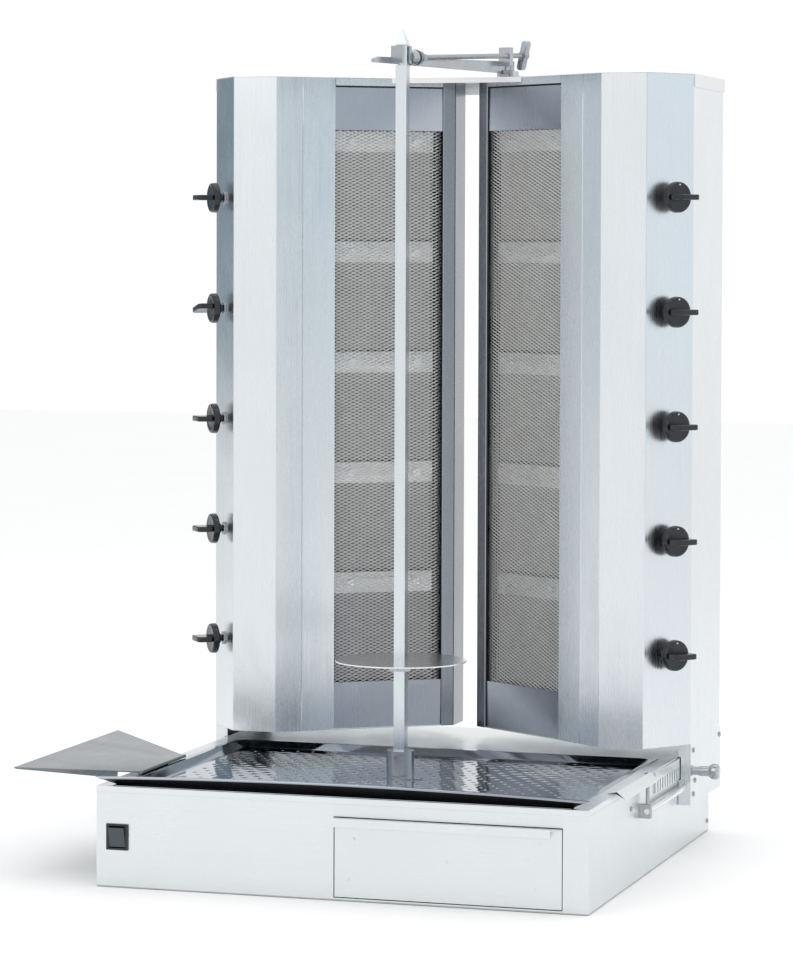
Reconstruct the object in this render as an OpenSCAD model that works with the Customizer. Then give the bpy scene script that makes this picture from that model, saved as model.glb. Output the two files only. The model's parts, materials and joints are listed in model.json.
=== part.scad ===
// Vertical rotisserie oven: a square spit turning in front of two towers of gas burners.
// Origin: on the standing surface under the spit axis. +Z up, the drawer side faces -Y.

/* [Base] */
// Width of the base box
base_w = 650; // [600:10:800]
// Depth of the base box
base_d = 682; // [650:2:820]
// Height of the base box up to the top of the deck
base_h = 129.7; // [125:0.1:160]
// Distance from the spit axis to the front of the base
spit_setback = 265; // [250:1:320]
// Sheet thickness of the base box
shell_t = 1.5; // [1:0.1:2]
// Height of the folded lip round the deck
deck_lip = 8; // [6:1:12]

/* [Drip pan] */
// Width of the pan between its side crests
pan_w = 610; // [560:10:610]
// Depth of the pan
pan_d = 460; // [440:10:470]
// Height of the pan floor above the standing surface
pan_floor_z = 119; // [117:1:122]
// Height of the front flange above the deck
pan_crest = 15; // [8:0.1:18]

/* [Drawer] */
// Width of the drawer opening
drawer_w = 297; // [200:1:300]
// Height of the drawer opening
drawer_h = 102.5; // [70:0.5:105]
// Depth of the drawer tray
drawer_d = 178; // [120:2:184]
// Sideways place of the opening's left edge
drawer_x = -5; // [-40:1:0]
// Gap between the drawer front and its opening
drawer_gap = 1; // [0.6:0.1:2]

/* [Spit] */
// Side of the square spit bar
spit_side = 15; // [12:0.5:18]
// Height of the spit above the roof
spit_over_roof = 52; // [40:1:70]
// Radius of the neck held by the top steady
neck_r = 6; // [5:0.1:7]
// Diameter of the meat disc
disc_d = 174; // [120:2:220]
// Height of the meat disc
disc_z = 272; // [200:1:320]
// Radius of the drive shaft
shaft_r = 10; // [9:0.1:12]
// Radius of the socket that takes the spit bar
socket_r = 18.5; // [17:0.5:22]
// Height of the socket above the pan floor
socket_h = 35; // [30:1:45]

/* [Drive] */
// Tooth module of the gear pair
gear_module = 2.5; // [2:0.1:3]
// Teeth on the drive gear, a multiple of four
gear_teeth = 40; // [40:4:48]
// Teeth on the motor pinion
pinion_teeth = 10; // [10:1:12]
// Thickness of both gears
gear_t = 12; // [8:1:14]
// Height of the underside of the gears
gear_z = 30; // [25:1:32]

/* [Burner towers] */
// Gap between the base deck and the towers
tower_gap = 18; // [16:1:24]
// Distance from the spit axis to the towers' front facets
tower_front = 155.4; // [140:0.2:180]
// Half of the see-through gap between the towers
post_x = 17; // [14:1:30]
// Angle of the burner faces to the X axis
face_angle = 35; // [30:1:40]
// Width of the front facet of a tower
facet_front_w = 62.2; // [50:0.2:70]
// Width across X of the knob facet
facet_knob_x = 49.7; // [40:0.1:55]
// Depth along Y of the knob facet
facet_knob_y = 66.2; // [55:0.1:75]
// Face width between the front facet and the burner opening
face_margin = 85.6; // [75:0.1:95]
// Face width between the burner opening and the middle gap
post_w = 18; // [16:1:30]
// Number of burners in each tower
burner_count = 5; // [3:1:5]
// Height taken by one burner
burner_pitch = 153.8; // [130:0.1:155]
// Plain panel height under the lowest burner
lower_panel = 65.3; // [55:0.1:80]
// Plain panel height above the highest burner up to the casing top
upper_panel = 71.5; // [60:0.5:80]
// Sheet thickness of the casings
casing_t = 1.5; // [1:0.1:2]
// Height of the folded rim of the roof
roof_rim = 18; // [14:1:24]
// Height of the flush rail over the burner strip
top_rail = 10; // [6:1:16]
// Depth of the recessed burner strip behind the face
face_depth = 4; // [2:0.5:5]

/* [Burners] */
// Height of the bright bolt band at the top of each burner
band_h = 30; // [24:1:36]
// Depth of a burner body
burner_depth = 44; // [36:1:48]
// Distance from the tower face to the ceramic
ceramic_back = 14; // [12:1:18]

/* [Knobs] */
// Diameter of a knob skirt
knob_d = 42; // [34:1:46]
// Distance from the knob facet to the end of the grip
knob_reach = 43; // [36:1:50]
// Radius of the valve stem
stem_r = 4; // [3:0.1:5]
// Drop of the knobs below the middle of each burner
knob_drop = 17.4; // [0:0.1:25]

/* [Slide] */
// Distance from the base side to the outside of a pedestal
pedestal_x = 17.4; // [16:0.1:20]
// Depth of a pedestal
pedestal_d = 190; // [180:1:210]
// Height of the underside of a pedestal
pedestal_z = 64; // [50:1:70]
// Forward travel of the burner housing
slide_travel = 112; // [56:14:112]
// Distance between two slots of the index comb
comb_pitch = 14; // [12:1:20]
// Radius of the guide rods
rod_r = 4.2; // [3.6:0.1:5]
// Height of the guide rods
rod_z = 88; // [80:1:90]

/* [Top steady] */
// Angle of the arm to the Y axis
arm_angle = 16.5; // [10:0.5:20]
// Slope of the clamp screw
screw_slope = 3.2; // [2:0.1:4]
// Radius of the clamp screw rod
screw_r = 3.5; // [3:0.1:4]

/* [Wing tray] */
// Reach of the wing tray beyond the pan crest
wing_reach = 139; // [100:1:160]
// Upward slope of the wing tray at rest
wing_slope = 6.1; // [3:0.1:10]

/* [Fits] */
// Clearance between pieces that move past each other
move_gap = 0.3; // [0.2:0.05:0.6]
// Radial clearance of a shaft in its bearing
run_gap = 0.05; // [0.02:0.01:0.1]

/* [Hidden] */
$fn = 48;

// Base
half_w = base_w / 2;
front_y = -spit_setback;
rear_y = base_d - spit_setback;
shell_top = base_h - deck_lip;
deck_t = 1.5;
cut = 1;

// Pan
pan_t = 1.2;
pan_y = front_y + 3;
pan_mid_y = pan_y + pan_d / 2;
pan_wall_run = 14;
pan_rim_z = base_h + pan_t;

// Drawer
drawer_z = 3.5;
drawer_front_t = 2;
drawer_wall = 1.2;
tray_side = 8;
tray_z = 6;
tray_h = drawer_h - 14;

// Towers
tower_x = half_w + pedestal_x;
tower_z = base_h + tower_gap;
knob_edge = [tower_x, tower_front + facet_knob_y];
front_outer = [tower_x - facet_knob_x, tower_front];
front_inner = [front_outer[0] - facet_front_w, tower_front];
face_len = (front_inner[0] - post_x) / cos(face_angle);
post_y = tower_front + face_len * sin(face_angle);
post_wall = 50;
tower_back = tower_front + facet_knob_y + 187.6;
tower_plan = [
    knob_edge, front_outer, front_inner, [post_x, post_y], [post_x, post_y + post_wall],
    [120, tower_back], [tower_x, tower_back]
];
mesh_z = tower_z + lower_panel;
mesh_h = burner_count * burner_pitch;
casing_top = mesh_z + mesh_h + upper_panel;
roof_t = 1.5;
roof_top = casing_top + roof_t;
open_w = face_len - face_margin - post_w;
unit_w = open_w - 14;
unit_h = burner_pitch - 2;

// Knobs
facet_mid = (knob_edge + front_outer) / 2;
facet_len = norm(knob_edge - front_outer);
knob_turn = atan2(-facet_knob_x, facet_knob_y);
valve_depth = 40;
stem_tip = 21;

// Gas pipes
facet_normal = unit([facet_knob_y, -facet_knob_x]);
manifold_xy = facet_mid - (valve_depth + 8.2) * facet_normal;
manifold_r = 8;
pipe_z = mesh_z - 13;
feed_xy = facet_mid - (valve_depth - 10) * facet_normal;
feed_len = feed_xy[0] - front_inner[0] + 4;
inlet_r = 10.48;
inlet_len = 25;

// Roof front line between the towers
bridge_y = tower_front + 94.6;
bridge_x = front_inner[0] - (bridge_y - tower_front) / tan(face_angle);
roof_plan = [
    tower_plan[0], tower_plan[1], tower_plan[2], [bridge_x, bridge_y], [-bridge_x, bridge_y],
    [-tower_plan[2][0], tower_plan[2][1]], [-tower_plan[1][0], tower_plan[1][1]],
    [-tower_plan[0][0], tower_plan[0][1]], [-tower_x, tower_back], [tower_x, tower_back]
];

// Pedestals
post_depth = 15;
pedestal_y = knob_edge[1] + 2;
pedestal_open = half_w + 0.5;
plate_t = 1.5;
bush_d = 12;
rod_x = half_w + 8.6;
rod_front = pedestal_y - slide_travel - 106;
rod_back = pedestal_y + bush_d + 40.5;
plunger_y = pedestal_y + 9.5;
plunger_z = 110.5;
pin_r = 3;
pin_stroke = 8;
pin_x = half_w + 1.2 + pin_stroke;
collar_x = pin_x + 7;
spring_r = 4.5;
sleeve_r = 5.6;
sleeve_start = half_w + 5;
sleeve_x = tower_x + 16;
sleeve_wall = 2;
head_x = sleeve_x + move_gap + pin_stroke;
comb_t = 3;
comb_z = 100;
comb_h = 28;
spare_slots = 2;
slot_count = slide_travel / comb_pitch + 1 + spare_slots;
comb_front = plunger_y - (slot_count - 1) * comb_pitch - 10;
comb_end = plunger_y + 12;
screw_list = [
    [pedestal_y + 16.5, 137.6], [pedestal_y + 27, 95.1], [pedestal_y + 18.2, 77.3],
    [pedestal_y + pedestal_d - 8, 137.9]
];
base_screw_list = [[-46.3, 98.9], [rear_y - 9, 14.6]];

// Drive
gear_pitch_r = gear_teeth * gear_module / 2;
pinion_pitch_r = pinion_teeth * gear_module / 2;
pinion_x = -(gear_pitch_r + pinion_pitch_r);
case_wall = 3;
case_top = gear_z + gear_t + 20;
motor_shaft_r = 4;
bearing_r = shaft_r + 6;
bearing_flange_r = bearing_r + 8;

// Spit
socket_top = pan_floor_z + socket_h;
bar_z = pan_floor_z + 10;
spit_top = roof_top + spit_over_roof;
point_h = 20;
neck_top = spit_top - point_h - 2;
neck_z = roof_top + 4;

// Top steady
arm_z = roof_top + 5;
pivot_s = (bridge_y + 20.3) / cos(arm_angle);
pivot_side = -13.5;
arm_bar_t = 5;
block_h = 23;
pivot_xy = [
    pivot_s * sin(arm_angle) + pivot_side * cos(arm_angle),
    pivot_s * cos(arm_angle) - pivot_side * sin(arm_angle)
];
bolt_r = 4;
boss_z = roof_top + 9;
boss_top = roof_top + 22;
screw_z = roof_top + 13.9;
handle_s = pivot_s + 20;
saddle_r = 15;
rail_w = 13;
rail_h = 4;

// Wing
wing_root_x = -(pan_w / 2) + 2;
roll_r = 2.2;
wing_z = pan_rim_z + move_gap + roll_r;

// Rocker switch
bezel = [29.5, 33.5];
bezel_x = 14.1;
bezel_z = 48;
rocker_pos = [-half_w + bezel_x + bezel[0] / 2, front_y, bezel_z + bezel[1] / 2];
rocker_w = 21.2;
rocker_axis_y = 3;
rocker_pin_r = 1.5;

// Polygon moved inwards by d, for an outline listed clockwise
function unit(v) = v / norm(v);
function inward(a, b) = let(u = unit(b - a)) [u[1], -u[0]];
function inset(p, d) = [
    for (i = [0 : len(p) - 1])
        let(
            a = inward(p[(i + len(p) - 1) % len(p)], p[i]),
            b = inward(p[i], p[(i + 1) % len(p)])
        )
        p[i] + d * (a + b) / (1 + a * b)
];

// Outline of a straight-sided gear, four points to a tooth
function polar(r, a) = [r * cos(a), r * sin(a)];
function gear_outline(n, m) =
    let(
        pitch_r = n * m / 2,
        root = pitch_r - 1.1 * m,
        tip = pitch_r + 0.8 * m,
        wide = 1.0 * m / root * 180 / PI,
        thin = 0.34 * m / tip * 180 / PI
    )
    [
        for (i = [0 : n - 1])
            each [
                polar(root, i * 360 / n - wide), polar(tip, i * 360 / n - thin),
                polar(tip, i * 360 / n + thin), polar(root, i * 360 / n + wide)
            ]
    ];

// Shared placing
module side(s) {
    mirror([s < 0 ? 1 : 0, 0, 0])
        children();
}
module both() {
    for (s = [-1, 1])
        side(s)
            children();
}
// X runs along the burner face from the front facet, Y goes into the tower
module on_face() {
    translate([front_inner[0], front_inner[1], 0])
        rotate([0, 0, 180 - face_angle])
            mirror([0, 1, 0])
                children();
}
// Height of knob number i, counted upwards
function knob_height(i) = mesh_z + (i - 0.5) * burner_pitch - knob_drop;
// Z points out of the knob facet, at the height of knob number i
module at_knob(i) {
    translate([facet_mid[0], facet_mid[1], knob_height(i)])
        rotate([0, 0, knob_turn])
            rotate([0, 90, 0])
                children();
}
// Y runs along the top arm from the spit axis
module along_arm() {
    rotate([0, 0, -arm_angle])
        children();
}
// Z runs along the clamp screw from the spit axis
module along_screw() {
    along_arm()
        translate([0, 0, screw_z])
            rotate([screw_slope - 90, 0, 0])
                children();
}
module tube(r_out, r_in, h) {
    difference() {
        cylinder(r = r_out, h = h);
        translate([0, 0, -cut])
            cylinder(r = r_in, h = h + 2 * cut);
    }
}
module square_bar(w, h) {
    translate([-w / 2, -w / 2, 0])
        cube([w, w, h]);
}

// Base box, open at the top and bottom, with the drawer and switch openings
module base_shell() {
    color("gainsboro")
    difference() {
        translate([-half_w, front_y, shell_t])
            cube([base_w, base_d, shell_top - shell_t]);
        translate([-half_w + shell_t, front_y + shell_t, 0])
            cube([base_w - 2 * shell_t, base_d - 2 * shell_t, base_h]);
        translate([drawer_x, front_y - cut, drawer_z])
            cube([drawer_w, shell_t + 2 * cut, drawer_h]);
        translate([rocker_pos[0] - 13, front_y - cut, rocker_pos[2] - 15])
            cube([26, shell_t + 2 * cut, 30]);
        translate([-half_w + 60, rear_y + cut, 40])
            rotate([90, 0, 0])
                cylinder(r = 8, h = shell_t + 2 * cut);
        for (i = [0 : 7])
            translate([-60 + i * 16, rear_y - shell_t - cut, 50])
                cube([5, shell_t + 2 * cut, 40]);
        both()
            for (p = base_screw_list)
                translate([half_w - shell_t - cut, p[0], p[1]])
                    rotate([0, 90, 0])
                        cylinder(r = 2, h = shell_t + 2 * cut, $fn = 24);
    }
}

// Plate that closes the base and rests on the standing surface
module base_floor() {
    color("silver")
    translate([-half_w, front_y, 0])
        cube([base_w, base_d, shell_t]);
}

// Top deck with its folded lip and the well for the drip pan
module deck() {
    color("gainsboro")
    difference() {
        translate([-half_w, front_y - deck_t, shell_top])
            cube([base_w, base_d + deck_t, deck_lip]);
        translate([-half_w + deck_t, front_y, shell_top - cut])
            cube([base_w - 2 * deck_t, base_d - deck_t, deck_lip - deck_t + cut]);
        translate([-pan_w / 2 + 7, pan_y + 7, shell_top])
            cube([pan_w - 14, pan_d - 14, deck_lip + cut]);
    }
}

// Rectangle that tapers from a wide top to a narrow bottom
module dish(w, d, h, run) {
    mirror([0, 0, 1])
        linear_extrude(height = h, scale = [(w - 2 * run) / w, (d - 2 * run) / d], slices = 1)
            square([w, d], center = true);
}

// Shallow pan with a perforated floor, a flat rim and a raised front flange
module drip_pan() {
    dish_w = pan_w - 18;
    dish_d = pan_d - 18;
    dish_h = pan_rim_z - pan_floor_z;
    color("lightsteelblue")
    difference() {
        union() {
            translate([-pan_w / 2, pan_y, base_h])
                cube([pan_w, pan_d, pan_t]);
            translate([0, pan_mid_y, pan_rim_z])
                dish(dish_w, dish_d, dish_h + pan_t, pan_wall_run);
            translate([-half_w - 2, pan_y, 0])
                rotate([90, 0, 90])
                    linear_extrude(height = base_w + 4)
                        polygon([
                            [12, base_h], [12, base_h + pan_t], [-1.5, base_h + pan_crest],
                            [-4.6, base_h + pan_crest], [-5.8, base_h + pan_crest - 6],
                            [-4.6, base_h + pan_crest - 6], [-3.6, base_h + pan_crest - pan_t],
                            [-1.9, base_h + pan_crest - pan_t], [11, base_h]
                        ]);
        }
        translate([0, pan_mid_y, pan_rim_z + 0.01])
            dish(dish_w - 2 * pan_t, dish_d - 2 * pan_t, dish_h, pan_wall_run);
        translate([0, 0, pan_floor_z - pan_t - cut])
            cylinder(r = shaft_r + 1.5, h = pan_t + 2 * cut);
        for (s = [-1, 1], i = [0 : 2], j = [0 : 2])
            translate([s * (70 + i * 80), pan_mid_y + (j - 1) * 130, pan_floor_z - pan_t - cut])
                cylinder(r = 3, h = pan_t + 2 * cut, $fn = 16);
    }
}

// Glide strips under the drawer tray
module drawer_runners() {
    color("dimgray")
    for (x = [drawer_x + tray_side, drawer_x + drawer_w - tray_side - 20])
        translate([x, front_y + 4, shell_t])
            cube([20, drawer_d, tray_z - move_gap - shell_t]);
}

// Gear case with its lid, standing on the base floor
module gear_case() {
    r = gear_pitch_r + gear_module + 6;
    x0 = pinion_x - pinion_pitch_r - gear_module - 12;
    color("darkgray")
    difference() {
        translate([x0, -r, shell_t])
            cube([r - x0, 2 * r, case_top - shell_t]);
        translate([x0 + case_wall, -r + case_wall, shell_t + case_wall])
            cube([r - x0 - 2 * case_wall, 2 * (r - case_wall), case_top - shell_t - 2 * case_wall]);
        translate([0, 0, case_top - case_wall - cut])
            cylinder(r = bearing_r, h = case_wall + 2 * cut);
        translate([pinion_x, 0, case_top - case_wall - cut])
            cylinder(r = motor_shaft_r + 2, h = case_wall + 2 * cut);
    }
}

// Motor can standing on the gear case, bored for the pinion shaft
module drive_motor() {
    color("slategray")
    translate([pinion_x, 0, case_top])
        difference() {
            union() {
                cylinder(r = 33, h = 40);
                cylinder(r = 38, h = 5);
                translate([0, 0, 40])
                    cylinder(r = 16, h = 6);
            }
            translate([0, 0, -cut])
                cylinder(r = motor_shaft_r + run_gap, h = 21);
            translate([-pinion_x, 0, -cut])
                cylinder(r = bearing_flange_r + move_gap, h = 5 + 2 * cut);
        }
}

// Flanged bush that carries the drive shaft in the case lid
module shaft_bearing() {
    color("goldenrod")
    translate([0, 0, case_top - 8])
        difference() {
            union() {
                cylinder(r = bearing_r, h = 24);
                translate([0, 0, 8])
                    cylinder(r = bearing_flange_r, h = 5);
            }
            translate([0, 0, -cut])
                cylinder(r = shaft_r + run_gap, h = 24 + 2 * cut);
        }
}

// Rods along both sides of the base that carry the burner housing
module guide_rods() {
    color("silver")
    both()
        translate([rod_x, rod_front, rod_z])
            rotate([-90, 0, 0])
                cylinder(r = rod_r, h = rod_back - rod_front);
}

// Blocks that hold the rods to the base sides, with an end pin at the front
module rod_brackets() {
    color("dimgray")
    both() {
        for (y = [rod_front, rod_back - 12])
            difference() {
                translate([half_w, y, rod_z - 9])
                    cube([13.5, y == rod_front ? 9 : 12, 18]);
                translate([rod_x, y - cut, rod_z])
                    rotate([-90, 0, 0])
                        cylinder(r = rod_r, h = 12 + 2 * cut);
            }
        translate([rod_x, rod_front + 4.5, rod_z + 9])
            cylinder(r = 2.6, h = 24);
    }
}

// Slotted plate on the right side that fixes the place of the housing
module index_comb() {
    color("lightgray")
    difference() {
        translate([half_w, comb_front, comb_z])
            cube([comb_t, comb_end - comb_front, comb_h]);
        for (k = [0 : slot_count - 1])
            translate([half_w - cut, plunger_y - k * comb_pitch - pin_r - 0.5, comb_z - cut])
                cube([comb_t + 2 * cut, 2 * pin_r + 1, plunger_z + 6 - comb_z + cut]);
    }
}

// Sloping strip on the right edge of the deck
module hook_rail() {
    color("silver")
    translate([0, 52, 0])
        rotate([90, 0, 0])
            linear_extrude(height = 180)
                polygon([
                    [half_w - 12, base_h], [half_w, base_h], [half_w + 1.2, base_h + 2],
                    [half_w + 11.3, base_h - 6.2], [half_w + 11.3, base_h - 8.2],
                    [half_w + 12.5, base_h - 8.2], [half_w + 12.5, base_h - 5.6],
                    [half_w + 1.4, base_h + 3.6], [half_w - 0.6, base_h + pan_t],
                    [half_w - 12, base_h + pan_t]
                ]);
}

// Frame round the rocker switch
module switch_bezel() {
    color("black")
    translate(rocker_pos)
        difference() {
            union() {
                translate([-bezel[0] / 2, -2.5, -bezel[1] / 2])
                    cube([bezel[0], 2.5, bezel[1]]);
                translate([-13, 0, -15])
                    cube([26, 16, 30]);
            }
            translate([-11, -2.5 - cut, -14.2])
                cube([22, 14 + cut, 28.4]);
            translate([-12.4, rocker_axis_y, 0])
                rotate([0, 90, 0])
                    cylinder(r = rocker_pin_r + run_gap, h = 24.8);
        }
}

// Rocker with two sloping halves on a pivot pin, resting on its off side
module switch_rocker() {
    color("lightslategray")
    translate(rocker_pos) {
        translate([-rocker_w / 2, 0, 0])
            rotate([90, 0, 90])
                linear_extrude(height = rocker_w)
                    polygon([
                        [2, -12.5], [-1.5, -12.5], [-3.2, 0], [-6.5, 12.2], [2, 12.5], [6, 0]
                    ]);
        translate([-12, rocker_axis_y, 0])
            rotate([0, 90, 0])
                cylinder(r = rocker_pin_r, h = 24);
    }
}

// Cable inlet in the rear wall
module cable_gland() {
    color("black")
    translate([-half_w + 60, rear_y + 16, 40])
        rotate([90, 0, 0])
            difference() {
                union() {
                    cylinder(r = 8, h = 24);
                    cylinder(r = 11, h = 16);
                }
                translate([0, 0, -cut])
                    cylinder(r = 4.5, h = 24 + 2 * cut);
            }
}

module dome_screw(r) {
    rotate([0, 90, 0]) {
        translate([0, 0, -4])
            cylinder(r = 2, h = 4, $fn = 24);
        cylinder(r1 = r, r2 = r * 0.6, h = 2, $fn = 24);
    }
}

// Screws in both sides of the base box
module base_screws() {
    color("silver")
    both()
        for (p = base_screw_list)
            translate([half_w, p[0], p[1]])
                dome_screw(4);
}

// Open tray that catches the fat
module drawer_tray() {
    w = drawer_w - 2 * tray_side;
    color("gainsboro")
    translate([drawer_x + tray_side, front_y + drawer_front_t, tray_z])
        difference() {
            cube([w, drawer_d, tray_h]);
            translate([drawer_wall, drawer_wall, drawer_wall])
                cube([w - 2 * drawer_wall, drawer_d - 2 * drawer_wall, tray_h]);
        }
}

// Drawer front with a folded handle lip along its top edge
module drawer_front() {
    w = drawer_w - 2 * drawer_gap;
    h = drawer_h - 2 * drawer_gap;
    lip = 12;
    color("whitesmoke")
    translate([drawer_x + drawer_gap, front_y, drawer_z + drawer_gap]) {
        cube([w, drawer_front_t, h]);
        translate([0, -lip, h - 1.5])
            cube([w - lip, lip, 1.5]);
        intersection() {
            translate([w - lip, 0, h - 1.5])
                cylinder(r = lip, h = 1.5);
            translate([w - lip, -lip, h - 1.5])
                cube([lip, lip, 1.5]);
        }
        translate([0, -lip, h - 11])
            cube([w - lip, 1.2, 10]);
    }
}

// Vertical shaft from the gear case to the spit socket
module drive_shaft() {
    color("silver")
    translate([0, 0, 8])
        cylinder(r = shaft_r, h = pan_floor_z + 4 - 8);
}

module drive_gear() {
    color("dimgray")
    translate([0, 0, gear_z])
        difference() {
            rotate([0, 0, 180 / gear_teeth])
                linear_extrude(height = gear_t)
                    polygon(gear_outline(gear_teeth, gear_module));
            translate([0, 0, -cut])
                cylinder(r = shaft_r, h = gear_t + 2 * cut);
        }
}

// Turning socket above the pan floor, round below and square above
module spit_socket() {
    color("silver")
    difference() {
        translate([0, 0, pan_floor_z + move_gap])
            cylinder(r = socket_r, h = socket_h - move_gap);
        cylinder(r = shaft_r, h = pan_floor_z + 4);
        translate([0, 0, bar_z])
            square_bar(spit_side, socket_h);
        translate([0, 0, socket_top - 9])
            rotate([90, 0, 0])
                cylinder(r = 3, h = socket_r + cut, $fn = 24);
    }
}

module socket_screw() {
    color("dimgray")
    translate([0, -spit_side / 2, socket_top - 9])
        rotate([90, 0, 0])
            difference() {
                cylinder(r = 3, h = 8, $fn = 24);
                translate([0, 0, 4])
                    cylinder(r = 1.5, h = 8, $fn = 6);
            }
}

// Square bar with a round neck for the top steady and a four-sided point
module spit_bar() {
    color("gainsboro") {
        translate([0, 0, bar_z])
            square_bar(spit_side, neck_z - bar_z);
        translate([0, 0, neck_z])
            cylinder(r = neck_r, h = neck_top - neck_z);
        translate([0, 0, neck_top])
            intersection_for (a = [0, 90])
                rotate([90, 0, a])
                    linear_extrude(height = spit_side, center = true)
                        polygon([
                            [-spit_side / 2, 0], [spit_side / 2, 0], [spit_side / 2, 2],
                            [0.3, 2 + point_h], [-0.3, 2 + point_h], [-spit_side / 2, 2]
                        ]);
    }
}

// Round plate that carries the meat
module spit_disc() {
    color("silver")
    translate([0, 0, disc_z])
        difference() {
            cylinder(r = disc_d / 2, h = 2, $fn = 96);
            translate([0, 0, -cut])
                square_bar(spit_side, 2 + 2 * cut);
        }
}

// Collar with its clamp screw under the disc
module disc_collar() {
    color("gray")
    translate([0, 0, disc_z - 12]) {
        difference() {
            cylinder(r = 16, h = 12);
            translate([0, 0, -cut])
                square_bar(spit_side, 12 + 2 * cut);
        }
        translate([0, -15.5, 6])
            rotate([90, 0, 0])
                cylinder(r = 3.5, h = 8, $fn = 24);
    }
}

// Pinion and motor shaft, meshing with the drive gear
module motor_pinion() {
    color("dimgray")
    translate([pinion_x, 0, gear_z]) {
        linear_extrude(height = gear_t)
            polygon(gear_outline(pinion_teeth, gear_module));
        translate([0, 0, gear_t])
            cylinder(r = motor_shaft_r, h = case_top - gear_z - gear_t + 18);
    }
}

// Fan-shaped tray on the left, rolled over the crest of the pan
module wing_tray() {
    y0 = front_y + 101;
    y1 = front_y + 258;
    outer0 = front_y - 6;
    outer1 = front_y + 364;
    edge = norm([wing_reach - 4, y0 - outer0]);
    lip_start = (half_w + wing_root_x + 3) * edge / (wing_reach - 4);
    foot_reach = 16;
    color("whitesmoke")
    translate([wing_root_x, 0, wing_z]) {
        translate([0, y0 - 2, 0])
            rotate([-90, 0, 0])
                cylinder(r = roll_r, h = y1 - y0 + 4);
        rotate([0, wing_slope, 0]) {
            translate([0, 0, -0.75])
                linear_extrude(height = 1.5)
                    polygon([
                        [0, y0], [0, y1], [-wing_reach, outer1], [-wing_reach + 4, outer0]
                    ]);
            translate([0, y0, 0])
                rotate([0, 0, 180 + atan2(y0 - outer0, wing_reach - 4)])
                    translate([0, -0.3, 0])
                        rotate([90, 0, 0])
                            linear_extrude(height = 1.5)
                                polygon([
                                    [lip_start, 0], [edge - 3, 0], [edge - 3, -1.5],
                                    [lip_start, -9]
                                ]);
        }
        translate([-foot_reach, y0 + 30, base_h + move_gap - wing_z])
            cube([4, y1 - y0 - 60, 4.8]);
    }
}

// Folded returns and recessed panels round the burner opening
module burner_strip() {
    floor_z = tower_z + casing_t;
    for (x = [face_margin - casing_t, face_margin + open_w])
        translate([x, 0, floor_z])
            cube([casing_t, face_depth + casing_t, casing_top - floor_z]);
    translate([face_margin - casing_t, face_depth, floor_z])
        cube([open_w + 2 * casing_t, casing_t, mesh_z - floor_z]);
    translate([face_margin - casing_t, face_depth, mesh_z + mesh_h])
        cube([open_w + 2 * casing_t, casing_t, casing_top - mesh_z - mesh_h]);
}

// Folded sheet casing of one tower, with the burner opening and the knob holes
module casing() {
    difference() {
        union() {
            difference() {
                translate([0, 0, tower_z])
                    linear_extrude(height = casing_top - tower_z)
                        polygon(tower_plan);
                translate([0, 0, tower_z - cut])
                    linear_extrude(height = casing_top - tower_z + 2 * cut)
                        polygon(inset(tower_plan, casing_t));
                on_face()
                    translate([face_margin, -cut, tower_z - cut])
                        cube([open_w, casing_t + 2 * cut, casing_top - tower_z - top_rail + cut]);
            }
            on_face()
                burner_strip();
        }
        for (i = [1 : burner_count])
            at_knob(i)
                translate([0, 0, -casing_t - cut])
                    cylinder(r = stem_r + 1, h = casing_t + 2 * cut);
        translate([manifold_xy[0], tower_back + cut, pipe_z])
            rotate([90, 0, 0])
                cylinder(r = manifold_r + 0.5, h = casing_t + 2 * cut);
    }
}
module right_casing() {
    color("gainsboro")
    casing();
}
module left_casing() {
    color("gainsboro")
    side(-1)
        casing();
}

// Bottom plates of both towers
module tower_floors() {
    color("silver")
    both()
        translate([0, 0, tower_z])
            linear_extrude(height = casing_t)
                polygon(inset(tower_plan, casing_t));
}

// Roof plate over both towers, with a skirt at the sides and rear and a lip between the towers
module roof() {
    skirt_z = roof_top - roof_rim;
    lip_h = 8;
    lip_x = bridge_x - roof_t / tan(face_angle);
    color("whitesmoke") {
        translate([0, 0, casing_top])
            linear_extrude(height = roof_t)
                polygon(roof_plan);
        both()
            translate([tower_x, knob_edge[1], skirt_z])
                cube([roof_t, tower_back + roof_t - knob_edge[1], roof_rim]);
        translate([-tower_x, tower_back, skirt_z])
            cube([2 * tower_x, roof_t, roof_rim]);
        translate([-lip_x, bridge_y, roof_top - lip_h])
            cube([2 * lip_x, roof_t, lip_h]);
    }
}

// Places a child for every burner of both towers, X along the face, Y into the tower
module each_burner() {
    both()
        on_face()
            for (i = [0 : burner_count - 1])
                translate([face_margin + 3, 0, mesh_z + i * burner_pitch])
                    children();
}

// Burner boxes with their mixing tubes
module burner_bodies() {
    knob_z = burner_pitch / 2 - knob_drop;
    color("dimgray")
    each_burner()
        difference() {
            union() {
                translate([0, ceramic_back, 1])
                    cube([unit_w, burner_depth, unit_h]);
                translate([-48, ceramic_back + burner_depth / 2, knob_z])
                    rotate([0, 90, 0])
                        cylinder(r = 11, h = 50);
            }
            translate([2.5, ceramic_back - cut, 3.5])
                cube([unit_w - 5, burner_depth - 2.5 + cut, unit_h - 5]);
            translate([-49, ceramic_back + burner_depth / 2, knob_z])
                rotate([0, 90, 0])
                    cylinder(r = 9, h = 55);
        }
}

// Glowing ceramic plate of each burner
module ceramic_tiles() {
    color("tan")
    each_burner()
        translate([2.5, ceramic_back, 3.5])
            cube([unit_w - 5, 13, unit_h - 5]);
}

// Bright angle strip with two bolts across the top of each burner
module bolt_bands() {
    color("lightgray")
    each_burner() {
        translate([0, ceramic_back - 2, burner_pitch - band_h])
            cube([unit_w, 2, band_h - 1]);
        for (x = [24, unit_w - 24])
            translate([x, ceramic_back - 2, burner_pitch - band_h / 2])
                rotate([90, 0, 0])
                    cylinder(r = 5, h = 4);
    }
}

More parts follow.
